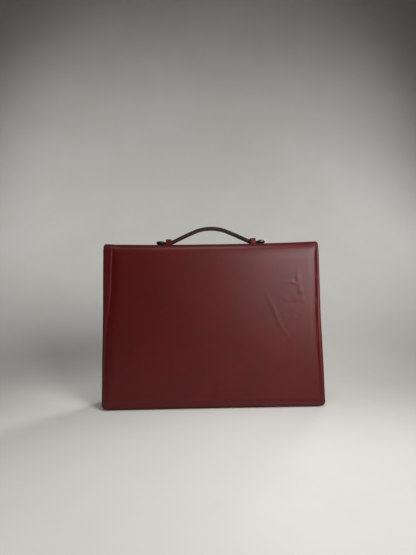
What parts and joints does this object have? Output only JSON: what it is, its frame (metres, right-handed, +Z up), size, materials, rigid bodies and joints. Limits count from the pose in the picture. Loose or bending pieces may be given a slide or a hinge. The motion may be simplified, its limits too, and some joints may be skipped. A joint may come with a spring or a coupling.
{
  "type": "leather briefcase",
  "caption": "Flap-over leather briefcase with stiffened padded panels, folding gussets, a divider, a concealed press stud and a strap handle that slides through two loops.",
  "frame": {"origin": "middle of the footprint, on the floor", "axes": "+X along the width, +Y from the flap side to the back, +Z up"},
  "size_m": [0.4, 0.0926, 0.3338],
  "materials": {
    "box_leather": "smooth semi-gloss burgundy box calf",
    "panel_padding": "thin pressed felt padding",
    "fibre_board": "pressed leather-fibre stiffener board",
    "lining": "fine suede-finish lining in dark burgundy",
    "strap_leather": "dark brown bridle leather with painted edges",
    "strap_core": "bonded leather core",
    "stopper_leather": "black lacquered leather",
    "closure_metal": "polished brass press stud",
    "steel": "zinc-plated steel plate and tacks",
    "dark_rivet": "blackened brass rivet"
  },
  "bodies": {
    "case": {"top_cover": "box_leather", "top_board": "fibre_board", "top_lining": "lining", "left_spine_rim": "box_leather", "right_spine_rim": "box_leather", "back_rim": "box_leather", "back_cover": "box_leather", "back_padding": "panel_padding", "back_board": "fibre_board", "back_lining": "lining", "document_pocket": "lining", "bottom_cover": "box_leather", "bottom_board": "fibre_board", "bottom_lining": "lining", "left_rear_gusset": "box_leather", "right_rear_gusset": "box_leather", "divider_front_skin": "lining", "divider_board": "fibre_board", "divider_rear_skin": "lining", "left_handle_loop": "box_leather", "right_handle_loop": "box_leather", "left_loop_plate": "steel", "right_loop_plate": "steel", "loop_tacks": "steel"},
    "flap": {"flap_rim": "box_leather", "flap_cover": "box_leather", "flap_padding": "panel_padding", "flap_board": "fibre_board", "flap_lining": "lining", "closure_socket": "closure_metal"},
    "front": {"front_cover": "box_leather", "front_board": "fibre_board", "front_lining": "lining", "front_binding": "box_leather", "front_hem": "box_leather", "closure_stud": "closure_metal", "stud_washer": "closure_metal", "left_front_gusset": "box_leather", "right_front_gusset": "box_leather"},
    "crown": {"crown_upper": "strap_leather", "crown_core": "strap_core", "crown_lower": "strap_leather"},
    "left_ramp": {"left_ramp_upper": "strap_leather", "left_ramp_core": "strap_core", "left_ramp_lower": "strap_leather"},
    "right_ramp": {"right_ramp_upper": "strap_leather", "right_ramp_core": "strap_core", "right_ramp_lower": "strap_leather"},
    "left_end": {"left_strap_end": "strap_leather", "left_stopper": "stopper_leather", "left_stopper_rivet": "dark_rivet"},
    "right_end": {"right_strap_end": "strap_leather", "right_stopper": "stopper_leather", "right_stopper_rivet": "dark_rivet"}
  },
  "joints": [
    {"name": "flap_hinge", "type": "hinge", "parent": "case", "child": "flap", "pos_m": [0, -0.028, 0.286], "axis": [-1, 0, 0], "range_deg": [0, 175]},
    {"name": "front_spread", "type": "hinge", "parent": "case", "child": "front", "pos_m": [0, -0.03807, 0.00265], "axis": [1, 0, 0], "range_deg": [0, 7.2]},
    {"name": "handle_lift", "type": "slide", "parent": "case", "child": "crown", "axis": [0, 0, 1], "range_m": [-0.011, 0.003]},
    {"name": "left_shoulder", "type": "hinge", "parent": "crown", "child": "left_ramp", "pos_m": [-0.036, 0, 0.3227], "axis": [0, 1, 0], "range_deg": [-4.1, 14.9]},
    {"name": "right_shoulder", "type": "hinge", "parent": "crown", "child": "right_ramp", "pos_m": [0.036, 0, 0.3227], "axis": [0, -1, 0], "range_deg": [-4.1, 14.9]},
    {"name": "left_knee", "type": "hinge", "parent": "left_ramp", "child": "left_end", "pos_m": [-0.077, 0, 0.3033], "axis": [0, 1, 0], "range_deg": [-14.9, 4.1]},
    {"name": "right_knee", "type": "hinge", "parent": "right_ramp", "child": "right_end", "pos_m": [0.077, 0, 0.3033], "axis": [0, -1, 0], "range_deg": [-14.9, 4.1]}
  ],
  "couplings": [
    {"joint": "front_spread", "follows": "flap_hinge", "ratio": 0.04},
    {"joint": "left_shoulder", "follows": "handle_lift", "rad_per_m": -23.6},
    {"joint": "right_shoulder", "follows": "handle_lift", "rad_per_m": -23.6},
    {"joint": "left_knee", "follows": "handle_lift", "rad_per_m": 23.6},
    {"joint": "right_knee", "follows": "handle_lift", "rad_per_m": 23.6}
  ]
}
